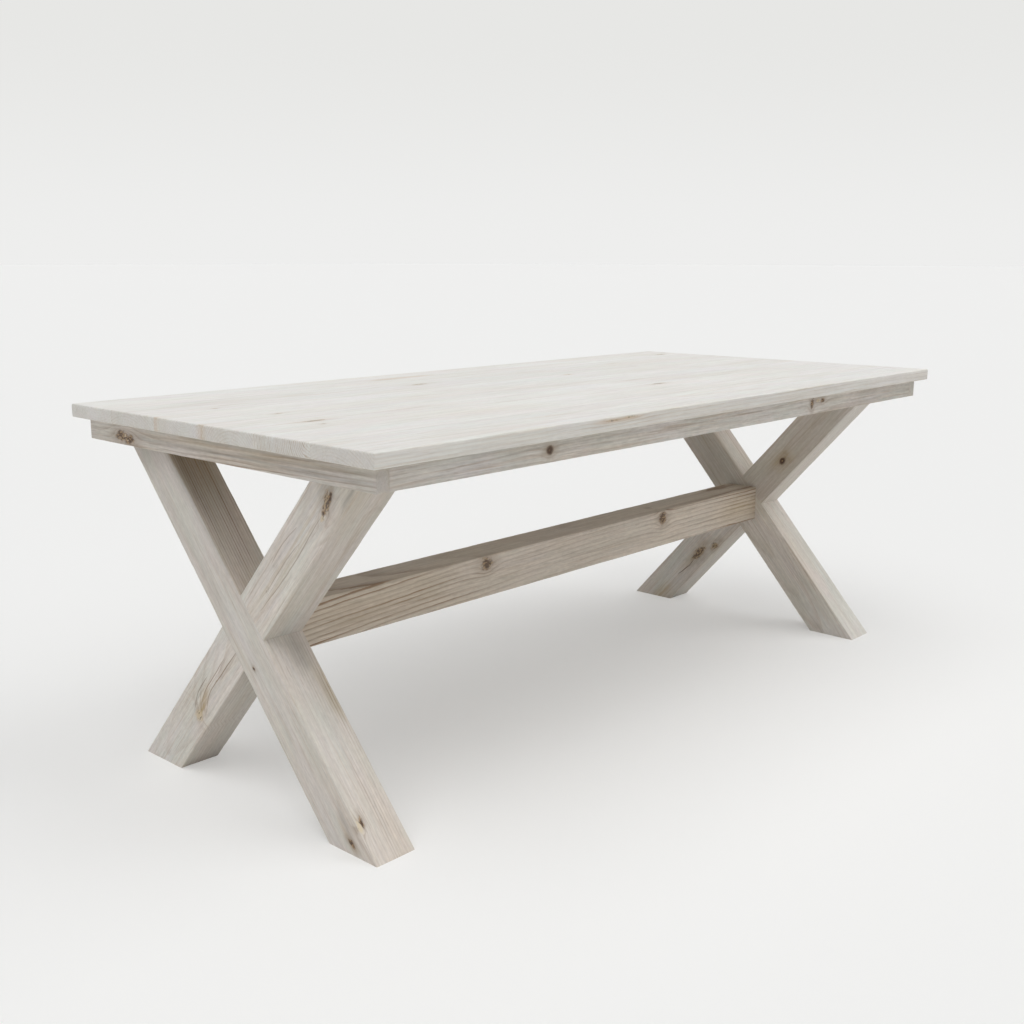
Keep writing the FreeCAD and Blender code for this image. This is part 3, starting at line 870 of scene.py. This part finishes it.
# top boards: s along X, a across towards +Y, b up
topBoards = {
    "shared": {
        "slot": "whitewashed_pine_top", "step": 6.0, "faceGap": 2.6, "underGap": 7.0, "edgeGap": 2.8,
        "endEase": 3.0, "rimRadius": 3.0, "seamRadius": 0.35, "glued": 40, "ringDepth": 0.9, "ripple": 0.12,
        # face lightness is painted light and shade: the top is set lighter and the edges and ends darker
        "faces": {"+b": (0.5, 0.06, 1.02, 1), "-a": (0.8, -0.22, 0.94, 0.8), "+a": (0.8, -0.22, 0.94, 0.8),
                  "end": (0.45, -0.16, 0.905, 0.6)},
    },
    "top_board_1": {
        "pith": (24, -86), "ringWidth": 5.2, "drift": (0, 14), "seed": 101, "light": 0.995,
        "knots": [knot("-a", -400, 7, 2.8, 9.0, 0.45), knot("-a", -345, 9, 2.4, 8.0, 0.35)],
        "stains": [band("-a", -450, -310, 7, 4, 0.6)],
    },
    "top_board_2": {
        "pith": (-66, 12), "ringWidth": 4.6, "drift": (10, 0), "seed": 102, "light": 1.005,
        "faces": {"-a": plainFace, "+a": plainFace, "end": (1.9, -0.15, 0.9, 0.6)},
        "knots": [knot("+b", 169, 70, 8, 3.4, 0.62, 40)],
    },
    "top_board_3": {
        "pith": (8, -64), "ringWidth": 5.6, "drift": (20, -12), "seed": 103, "light": 0.99,
        "knots": [knot("+b", -825, -27, 8, 3.2, 0.55, 45), knot("+b", -840, -72, 3.5, 2.0, 0.7, 40)],
        "stains": [band("+b", -900, -780, -24, 5, 0.3)],
        "endStains": [{"at": 76, "half": 6, "share": 0.55}],
    },
    "top_board_4": {
        "pith": (-34, 58), "ringWidth": 4.8, "drift": (-16, 10), "seed": 104, "light": 1.0,
        "endStains": [{"at": -76, "half": 7, "share": 0.5}, {"at": 74, "half": 8, "share": 0.6}],
        "knots": [knot("+b", -806, -50, 4.5, 3.0, 0.45, 40), knot("+b", 200, 61, 7, 2.6, 0.2, 40)],
    },
    "top_board_5": {
        "pith": (22, -92), "ringWidth": 5.4, "drift": (0, 22), "seed": 105, "light": 0.985,
        "knots": [knot("+b", -237, 0, 7, 4.0, 0.5, 40), knot("+b", -844, -50, 3.5, 2.4, 0.5, 40)],
    },
    "top_board_6": {
        "pith": (-14, 72), "ringWidth": 5.0, "drift": (12, -8), "seed": 106, "light": 1.0,
        "knots": [knot("+b", 912, -34, 8, 3.4, 0.5, 40)],
        "stains": [band("+b", -260, -60, -9, 13, 0.55)],
    },
}


def addTopBoards(boards):
    count = len(boards) - 1
    for number, (look, low, high) in enumerate(eachNode(boards), 1):
        first, last = number == 1, number == count
        look["name"] = f"topPlank{number}"
        look["endSides"] = (first, last, 1, 1)
        look["openSides"] = [0 if outer else look["glued"] for outer in (first, last)]
        rim, seam = look["rimRadius"], look["seamRadius"]
        look["radii"] = [rim if outer else seam for outer in (last, first, first, last)]
        gaps = [look[key] for key in ("faceGap", "edgeGap", "underGap", "edgeGap")]
        addStraight(look, low, high, (alongX, alongY, upZ), gaps, topFinish)


addTopBoards(topBoards)
print("top laid")

# aprons: s along the apron, a through its thickness, b up; screw heads sit in counterbores underneath
aprons = {
    "shared": {
        "step": 5.0, "slot": "whitewashed_pine_frame", "faceGap": 3.0, "sideGap": 2.6,
        "lowRadius": 2.0, "highRadius": 0.4, "washShift": -0.06, "ripple": 0.15,
        "easeAtEnd": (2.0, (0.3, 0.3, 1, 0.15)),     # of end aprons: size, and its share on -a, +a, -b and +b
        "easeAtSide": (0.3, (1, 1, 1, 1)),
        "faces": {"end": (0.12, 0, 0.9, 0.3)},
    },
    "end_apron_left": {
        "name": "endApronLeft", "seed": 201, "pith": (60, 30), "ringWidth": 3.9, "drift": (0, -22),
        "light": 0.925, "ringDepth": 1.0, "washShift": -0.1,
        "knots": [knot("-a", 328, -4, 11, 2.0, 0.66, 30), knot("-a", 298, -9, 10, 2.2, 0.72, 30),
                  knot("-a", 314, -3, 4, 1.4, 0.0, 30), knot("-a", 302, -12, 3.5, 1.4, 0.0, 30)],
        "stains": [band("-a", -440, 180, 7, 6, 0.3)],
        "marksAndPaintedShade": [band("-a", -450, 120, 13, 3.0, 0.25, slant=2),
                   band("-a", -450, -60, 4, 2.8, 0.32, slant=-2),
                   band("-a", -450, 260, -4, 2.6, 0.25, slant=1),
                   band("-a", -450, -180, -10, 2.6, 0.28, slant=1)],
    },
    "end_apron_right": {
        "name": "endApronRight", "seed": 202, "pith": (-48, -40), "ringWidth": 4.6, "drift": (8, 20),
        "light": 0.95, "ringDepth": 0.95,
        "knots": [knot("+a", -120, 4, 7, 1.8, 0.7, 30)],
    },
    "side_apron_front": {
        "name": "sideApronFront", "seed": 203, "pith": (54, -30), "ringWidth": 5.4, "drift": (0, 24),
        "light": 0.92, "ringDepth": 0.75,
        "knots": [knot("-a", -554, 1, 9, 1.2, 1.5, 40), knot("-a", 412, 4, 13, 0.6, 0.8, 40),
                  knot("-a", 440, 9, 5, 1.8, 0.3, 40), knot("-a", 464, 8, 5, 2.0, 0.8, 40)],
    },
    "side_apron_rear": {
        "name": "sideApronRear", "seed": 204, "pith": (-62, 20), "ringWidth": 5.0, "drift": (0, -18),
        "light": 0.94, "ringDepth": 0.8,
        "knots": [knot("+a", -310, -3, 7, 1.4, 0.8, 40), knot("+a", 640, 5, 5, 1.6, 0.6, 40)],
    },
}
apronBore = {"radius": 5.5, "sink": 12.0, "reach": 8.0, "sideCount": 5}


def addAprons(pieces, bore):
    boardMiddles = [np.mean([side[1] for side in nodeBox(f"top_board_{number}")]) for number in range(1, 7)]
    frameEnd, count = nodeBox("side_apron_front")[1][0], bore["sideCount"]
    sideSpots = (np.arange(count) - (count - 1) // 2) * 2 * frameEnd / count
    for look, low, high in eachNode(pieces):
        atEnd = look["node"].startswith("end")
        look["endEase"], look["endSides"] = look["easeAtEnd" if atEnd else "easeAtSide"]
        look["radii"] = (look["highRadius"],) * 2 + (look["lowRadius"],) * 2
        axes = (alongY, alongX, upZ) if atEnd else (alongX, alongY, upZ)
        gaps = (look["faceGap"], look["sideGap"]) * 2
        spots = boardMiddles if atEnd else sideSpots
        addStraight(look, low, high, axes, gaps, frameFinish, {**bore, "spots": spots})


addAprons(aprons, apronBore)
print("aprons fixed")

# legs: s up the leg from the crossing, a across it towards +Y, b through it towards the side
# that is cut for the lap
legs = {
    "shared": {
        "slot": "whitewashed_pine_frame", "width": 100.0, "depth": 92.0, "step": 4.5, "gap": 2.6,
        "radius": 2.0, "lapRadius": 0.5, "lapFit": 0.1, "lapStep": 8.0,
        "ringDepth": 0.85, "ripple": 0.2, "wear": 0.4,
        "faces": {"+b": (0.35, 0, 1, 0.6), "-b": (0.35, 0, 1, 0.6),
                  "+a": (0.5, 0, 1, 0.6), "-a": (0.5, 0, 1, 0.6)},
    },
    "leg_left_front": {
        "name": "legLeftFront", "seed": 301, "foot": -1, "lapSide": 1, "pith": (-6, 118), "ringWidth": 5.0,
        # face lightness is painted light: the outer face and the front side are set lighter
        "drift": (0, 20), "faces": {"-b": (0.25, 0, 1.01, 0.42), "-a": (0.32, 0, 1.03, 0.5)},
        "knots": [knot("-b", -69, 17, 3.6, 1.4, 0.85, 50),
                  knot("-b", -454, -14, 5.5, 2.2, 0.8, 50, turn=0.25),
                  knot("-a", -431, -33, 4.4, 2.6, 1.0, 50, turn=0.15),
                  knot("-a", -437, -40, 6, 2.2, 0.0, 50)],
        "rings": [band("-a", -490, -290, 17, 15, 0.9), band("-a", -330, -110, 36, 8, 0.6),
                  band("-a", -230, -50, 26, 20, 0.8), band("-a", 60, 560, 0, 70, 1.35)],
        # the wide shade bands on -b from 400 and on -a from 40 and from 250 up the leg are painted shade
        # under the top, and those on -a from -260 and from -125 are painted shadow of the other leg below the
        # crossing; the other shade bands darken smears and streaks in the wood
        "marksAndPaintedShade": [band("-b", -460, -385, -20, 8, 0.24, slant=-4), band("-b", 30, 330, 26, 16, 0.08),
                   band("-b", 400, 560, 0, 70, 0.18), band("-a", 40, 560, 0, 70, 0.265),
                   band("-a", 250, 620, 0, 70, 0.28), band("-a", 170, 640, -28, 12, 0.14),
                   band("-a", -125, -45, 16, 24, 0.24), band("-a", -260, -60, 20, 30, 0.06),
                   band("-a", -225, -135, 36, 11, 0.12, slant=-4)],
        "stains": [band("-b", -475, -400, -12, 6, 0.35), band("-a", 300, 580, 0, 60, 0.25),
                   band("-a", -240, -125, 36, 12, 0.35, slant=-4)],
    },
    "leg_left_rear": {
        "name": "legLeftRear", "seed": 302, "foot": 1, "lapSide": -1, "pith": (10, -52), "ringWidth": 6.4,
        # face lightness is painted light and shade: the outer face is set lighter and the side that faces
        # down darker
        "drift": (20, 60), "faces": {"+b": (0.35, 0.06, 1.08, 0.62), "-a": (0.36, 0, 0.885, 0.5)},
        "knots": [knot("+b", 398, -6, 11, 2.2, 0.5, 90, eye=0.6, turn=0.4,
                       tail={"way": -1, "long": 190, "lines": 0.5, "half": 15, "veer": 0, "share": 0.3}),
                  knot("+b", 413, -6, 5.0, 3.2, 0.84, 60, turn=0.45),
                  knot("+b", 380, -13, 5.0, 1.6, 0.7, 60, turn=-0.7),
                  knot("+b", 366, -16, 5, 1.5, 0.0, 60),
                  knot("+b", -266, -18, 12, 1.2, 0.1, 90, eye=1.0,
                       tail={"way": 1, "long": 150, "lines": 1.8, "half": 15, "veer": 20, "share": 1.6})],
        "cracks": [darkLine("+b", 1.9, 0.8, [(-276, -2), (-252, 9), (-235, 16), (-215, 18), (-175, 18)],
                            ink=0.3),
                   darkLine("+b", 1.9, 0.9, [(-246, -33), (-224, -20), (-208, -11), (-185, -8), (-40, -12)]),
                   darkLine("+b", 1.9, 0.8, [(-262, -17), (-240, -7), (-222, 0), (-195, 4), (-90, 5)]),
                   darkLine("+b", 2.1, 0.6, [(80, -8), (186, -15), (244, -16), (303, -14), (341, -11),
                                             (366, -12)], ink=0.05),
                   darkLine("+b", 1.8, 0.5, [(180, 27), (236, 30), (262, 27), (302, 21)], ink=0.2),
                   darkLine("+b", 1.8, 0.5, [(120, 2), (220, 4), (255, 1), (284, -2)], ink=0.1)],
        # the stain on -a from -600 to -430 is brown wood and partly painted contact shade at the foot
        "stains": [band("+b", -272, -190, -10, 11, 0.7, slant=12), band("+b", 60, 380, 6, 4, 0.3, bend=4),
                   band("+b", 90, 370, -8, 3.5, 0.3, bend=-4), band("-a", -600, -430, 0, 60, 0.28),
                   band("-a", 0, 620, 0, 90, 0.14)],
        "marksAndPaintedShade": [band("+b", -275, -180, 12, 4, 0.14, slant=9), band("+b", -250, -60, -14, 4, 0.12),
                   band("+b", 390, 470, 8, 16, 0.16), band("+b", 425, 482, -38, 4.5, 0.26),
                   band("+b", 40, 400, -35, 9, -0.05), band("+b", 120, 360, 18, 7, 0.1),
                   # painted shadow on -a just above the crossing
                   band("-a", 35, 125, 0, 40, 0.1)],
    },
    "leg_right_front": {
        "name": "legRightFront", "seed": 303, "foot": -1, "lapSide": 1, "pith": (20, 96), "ringWidth": 5.0,
        # face lightness is painted light: the front side is set lighter
        "drift": (0, -26), "faces": {"-b": (0.6, 0, 1, 0.75), "-a": (0.4, 0, 1.085, 0.5)},
        "knots": [knot("+b", 250, 15, 9, 1.5, 0.7, 50)],
        "stains": [band("-b", 0, 560, 0, 90, 0.2)],
        # painted shade on the inner face -b under the top, and painted light on -a below the crossing
        "marksAndPaintedShade": [band("-b", 20, 520, 0, 90, 0.41), band("-a", -330, -50, 0, 90, -0.07)],
    },
    "leg_right_rear": {
        "name": "legRightRear", "seed": 304, "foot": 1, "lapSide": -1, "pith": (-12, -70), "ringWidth": 5.6,
        "drift": (16, 20), "light": 0.98,
        "knots": [knot("+b", 188, -7, 9.5, 1.4, 1.6, 70, rings=0.6), knot("+b", -235, -15, 12, 2.8, 0.6, 70),
                  knot("+b", -172, -37, 9, 1.8, 0.52, 60)],
        "stains": [band("+b", 150, 226, -7, 22, 0.35), band("+b", 0, 560, 0, 90, 0.2),
                   band("+b", -330, -190, -16, 12, 0.3), band("+b", -490, -390, -16, 20, 0.6)],
        # painted shade on the inner face +b under the top
        "marksAndPaintedShade": [band("+b", 20, 520, 0, 90, 0.215)],
        "cracks": [darkLine("+b", 2.0, 1.0, [(-345, -13), (-300, -20), (-262, -19)], ink=1.0, jitter=1.2)],
    },
}


# Stations of a leg: shear goes from the level cut of its ends to the slant of the lap, and the two stations
# at each wall of the lap lie in one place, one whole and one cut to the middle plane
def legRun(look, lean, height, tightReach=25):
    foot = look["foot"]
    endShear, lapShear = -foot * np.tan(lean), foot / np.tan(2 * lean)
    endAt = height / 2 / np.cos(lean)
    lapAt = (look["width"] / 2 + look["lapFit"]) / np.sin(2 * lean)
    outer = np.linspace(endAt, lapAt, round((endAt - lapAt) / look["step"]) + 1)
    lap = np.linspace(-lapAt, lapAt, round(2 * lapAt / look["lapStep"]) + 1)
    s = np.concatenate([-outer, lap, outer[::-1]])
    shear = np.interp(np.abs(s), [lapAt, endAt], [lapShear, endShear])
    lapped = np.concatenate([0 * outer, 0 * lap + 1, 0 * outer]) > 0
    size = np.array([look["width"], look["depth"]]) / 2 + 0 * s[:, None]
    tight = np.exp(-np.maximum(np.abs(s) - lapAt, 0) / tightReach)[:, None]    # sharp near the lap
    radius = wornRadius(s, look) * (1 - tight) + look["lapRadius"] * tight
    run = {"s": s, "shear": shear, "lapped": lapped, "low": -size, "high": size, "radius": radius}
    return run, endAt, endShear


# the lean is the angle at which a leg's outer edge passes through the corner of its box
def addLegs(pieces):
    for look, low, high in eachNode(pieces):
        foot, spread, height = look["foot"], high[1], high[2]
        reach = np.hypot(spread, height / 2)
        lean = np.arccos(look["width"] / 2 / reach) - np.arctan2(height / 2, spread)
        look["radii"] = (look["radius"],) * 4
        run, look["halfRun"], look["endShear"] = legRun(look, lean, height)
        out, up = foot * np.sin(lean), np.cos(lean)
        axes = (np.array([0, -out, up]), np.array([0, up, out]), alongX * look["lapSide"])
        shape = squareOutline(look["width"], look["depth"], (look["gap"],) * 4)
        addTimber(look, run, shape, (low + high) / 2, axes, frameFinish)


addLegs(legs)
print("legs crossed")

# stretcher: s along X, a across towards +Y, b up
stretcherLook = {
    **plainTimber,
    "name": "stretcherBeam", "node": "stretcher", "slot": "whitewashed_pine_frame", "seed": 401,
    "width": 95.0, "depth": 95.0, "step": 5.0, "gap": 2.6, "radii": (2.0, 2.0, 2.0, 2.0), "wear": 0.4,
    "shoulderAt": 840.0, "tenon": (45.0, 60.0), "tenonRadius": 0.5, "tenonSteps": 5,
    "pith": (26, -190), "ringWidth": 12.5, "drift": (0, 35), "arch": (0, -25), "ringDepth": 1.5,
    "depthAlong": (0.42, 1.25), "washShift": -0.06, "warm": 0.5,
    # face lightness is painted shade on the top face +b, which lies under the table top
    "faces": {"-a": (1, 0, 1.01, 0.7), "+b": (0.7, -0.1, 0.755, 0.8)},
    "stains": [band("-a", -900, -420, 0, 44, 0.26), band("-a", 640, 940, -4, 44, 0.4)],
    # painted light: the side -a is set lighter towards its right end
    "marksAndPaintedShade": [band("-a", 280, 820, 0, 80, -0.11)],
    "knots": [knot("-a", -304, 30, 15, 1.25, 0.68, 90, push=1.0, eye=0.4),
              knot("-a", 374, 27, 17, 1.0, 0.7, 90, push=1.0, eye=0.4),
              knot("+a", 120, -10, 11, 1.4, 0.7, 90)],
}


# Stations of the stretcher: two in one place at each shoulder, where the beam steps down to its stub tenon
def addStretcher(look):
    low, high = nodeBox(look["node"])
    tip, shoulder = high[0], look["shoulderAt"]
    beam = np.linspace(-shoulder, shoulder, round(2 * shoulder / look["step"]) + 1)
    tenon = np.linspace(shoulder, tip, look["tenonSteps"] + 1)
    s = np.concatenate([-tenon[::-1], beam, tenon])
    whole = np.concatenate([0 * tenon, 0 * beam + 1, 0 * tenon])[:, None]
    size = np.array([look["width"], look["depth"]]) / 2 * whole + np.array(look["tenon"]) / 2 * (1 - whole)
    look = {**look, "halfRun": tip}
    run = {"s": s, "shear": 0 * s, "lapped": whole[:, 0] > 1, "low": -size, "high": size,
           "radius": wornRadius(s, look) * whole + look["tenonRadius"] * (1 - whole)}
    shape = squareOutline(look["width"], look["depth"], (look["gap"],) * 4)
    addTimber(look, run, shape, (low + high) / 2, (alongX, alongY, upZ), frameFinish)


addStretcher(stretcherLook)
print("stretcher fitted")

# bearers and batten under the top: s along Y, a along X, b up; screws lie at spots both sides of the middle
crossPieces = {
    "shared": {
        "slot": "bare_pine", "step": 6.0, "gap": 4.0, "hiddenGap": 8.0, "radius": 1.2, "endEase": 0.8,
        "endSides": (1, 1, 1, 1), "ringDepth": 0.8, "ripple": 0.2, "warm": 0.3,
        "spots": (79.17, 225.86, 395.83),
    },
    "bearer_left": {"name": "bearerLeft", "seed": 501, "pith": (10, -90), "ringWidth": 5.0,
                    "knots": [knot("-b", 40, 25, 9, tone=0.7)]},
    "bearer_right": {"name": "bearerRight", "seed": 502, "pith": (-20, 80), "ringWidth": 5.4,
                     "knots": [knot("-b", -140, -20, 8, tone=0.6)]},
    "middle_batten": {"name": "battenMiddle", "seed": 503, "pith": (12, -60), "ringWidth": 4.6,
                      "knots": [knot("-b", 300, 12, 8, tone=0.7)], "spots": (79.17, 237.5, 395.83)},
}
crossBore = {"radius": 5.5, "sink": 4.0, "reach": 8.0}


def addCrossPieces(pieces, bore):
    for look, low, high in eachNode(pieces):
        look["radii"] = (look["radius"],) * 4
        gaps = (look["hiddenGap"], look["gap"], look["gap"], look["gap"])
        spots = [way * spot for spot in look["spots"] for way in (-1, 1)]
        addStraight(look, low, high, (alongY, alongX, upZ), gaps, bareFinish, {**bore, "spots": spots})


addCrossPieces(crossPieces, crossBore)
print("bearers and batten fixed")

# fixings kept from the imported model: a speckle runs from the pale to the dark colour
fixings = [
    {"name": "beechDowel", "pale": (208, 176, 138), "dark": (176, 138, 100), "metal": 0.0,
     "waves": (260, 700), "range": (0.4, 0.65), "rough": (0.6, 0.75),
     "nodes": ("board_dowels", "corner_dowels")},
    {"name": "zincScrew", "pale": (196, 198, 200), "dark": (146, 148, 150), "metal": 1.0,
     "waves": (900, 900), "range": (0.35, 0.7), "rough": (0.28, 0.46),
     "nodes": ("bearer_screws", "batten_screws", "apron_screws", "leg_screws", "lap_screws")},
]


def speckledMaterial(settings):
    material, tree, shader = newMaterial(settings["name"])
    shader.inputs["Metallic"].default_value = settings["metal"]
    speckle = grainNoise(tree, addNode(tree, "TexCoord").outputs["Object"], *settings["waves"], 3.0)
    share = remap(tree, speckle, *settings["range"])
    colour = blend(tree, share, linear(*settings["pale"]), linear(*settings["dark"]))
    tree.links.new(colour, shader.inputs["Base Color"])
    tree.links.new(remap(tree, speckle, 0.3, 0.7, *settings["rough"]), shader.inputs["Roughness"])
    return material


for settings in fixings:
    finish = speckledMaterial(settings)
    for node in settings["nodes"]:
        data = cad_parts[node].data
        data.materials.clear()
        data.materials.append(finish)
print("fixings finished")

# floor, world and lamps
studio = {
    "floorColour": (248, 248, 247),
    "floorGlow": (255, 255, 254),   # what the camera sees in place of the rest of the shadow
    "floorHalf": 200.0,             # metres
    "shadowKept": 0.7,              # share of the shadow that the camera sees on the floor
    "skyLight": 0.05,
    "skyLow": (238, 238, 237),
    "skyHigh": (231, 231, 229),
    "skyFade": 0.18,                # height of the change, as a share of straight up
    "lamps": {                      # strength in watts per square metre, then width, tilt and turn in radians
        "over": (0.43, 1.1, 0.0, 0.0),
        "left": (0.94, 0.9, 0.436, -1.571),
        "front": (0.18, 0.9, 0.436, 0.0),
        "frontLeft": (0.33, 0.9, 0.873, -0.785),
        "frontRight": (0.84, 0.9, 0.873, 0.785),
        "leftLow": (0.216, 0.9, 1.222, -1.571),
        "right": (0.2, 0.9, 0.698, 1.571),
        "rear": (0.161, 0.9, 0.698, 3.142),
    },
}


# 1 for rays that show the background: from the camera, or by way of a shiny or clear surface
def plainSight(tree):
    rays = addNode(tree, "LightPath").outputs
    return calc(tree, "MAXIMUM", rays["Is Glossy Ray"], rays["Is Transmission Ray"], rays["Is Camera Ray"])


# seen from below the floor is clear, so that the underside of the table can be looked at
def addFloor(settings):
    half = settings["floorHalf"]
    mesh = bpy.data.meshes.new("floor")
    corners = [(-half, -half, 0), (half, -half, 0), (half, half, 0), (-half, half, 0)]
    mesh.from_pydata(corners, [], [(0, 1, 2, 3)])
    floor = addObject("floor", mesh)
    material, tree, shader = newMaterial("paleFloor")
    shader.inputs["Base Color"].default_value = linear(*settings["floorColour"])
    shader.inputs["Roughness"].default_value = 1.0
    shader.inputs["Specular IOR Level"].default_value = 0.0
    glow = addNode(tree, "Emission", {"Color": linear(*settings["floorGlow"]), "Strength": 1.0}).outputs[0]
    share = times(tree, plainSight(tree), 1 - settings["shadowKept"])
    lit = addNode(tree, "MixShader", {0: share, 1: shader.outputs[0], 2: glow}).outputs[0]
    clear = addNode(tree, "BsdfTransparent").outputs[0]
    under = addNode(tree, "NewGeometry").outputs["Backfacing"]
    both = addNode(tree, "MixShader", {0: under, 1: lit, 2: clear}).outputs[0]
    tree.links.new(both, tree.nodes["Material Output"].inputs["Surface"])
    mesh.materials.append(material)


# the sky lights the table evenly; the camera and glossy rays see it fade from the floor's colour upwards
def addSky(settings):
    world = bpy.data.worlds.new("studio")
    scene.world = world
    world.use_nodes = True
    tree = world.node_tree
    tree.nodes.clear()
    seen = plainSight(tree)
    way = addNode(tree, "SeparateXYZ", {0: addNode(tree, "TexCoord").outputs["Generated"]}).outputs[2]
    upward = remap(tree, way, 0.0, settings["skyFade"])
    fade = blend(tree, upward, linear(*settings["skyLow"]), linear(*settings["skyHigh"]))
    shown = addNode(tree, "Background", {"Color": fade, "Strength": 1.0}).outputs[0]
    light = addNode(tree, "Background", {"Color": (1, 1, 1, 1), "Strength": settings["skyLight"]}).outputs[0]
    mixed = addNode(tree, "MixShader", {0: seen, 1: light, 2: shown}).outputs[0]
    tree.links.new(mixed, addNode(tree, "OutputWorld").inputs["Surface"])


def addLamps(lamps):
    for name, (strength, width, tilt, turn) in lamps.items():
        light = bpy.data.lights.new(name, "SUN")
        light.energy, light.angle = strength, width
        addObject(name, light).rotation_euler = (tilt, 0.0, turn)


addFloor(studio)
addSky(studio)
addLamps(studio["lamps"])
print("studio lit")
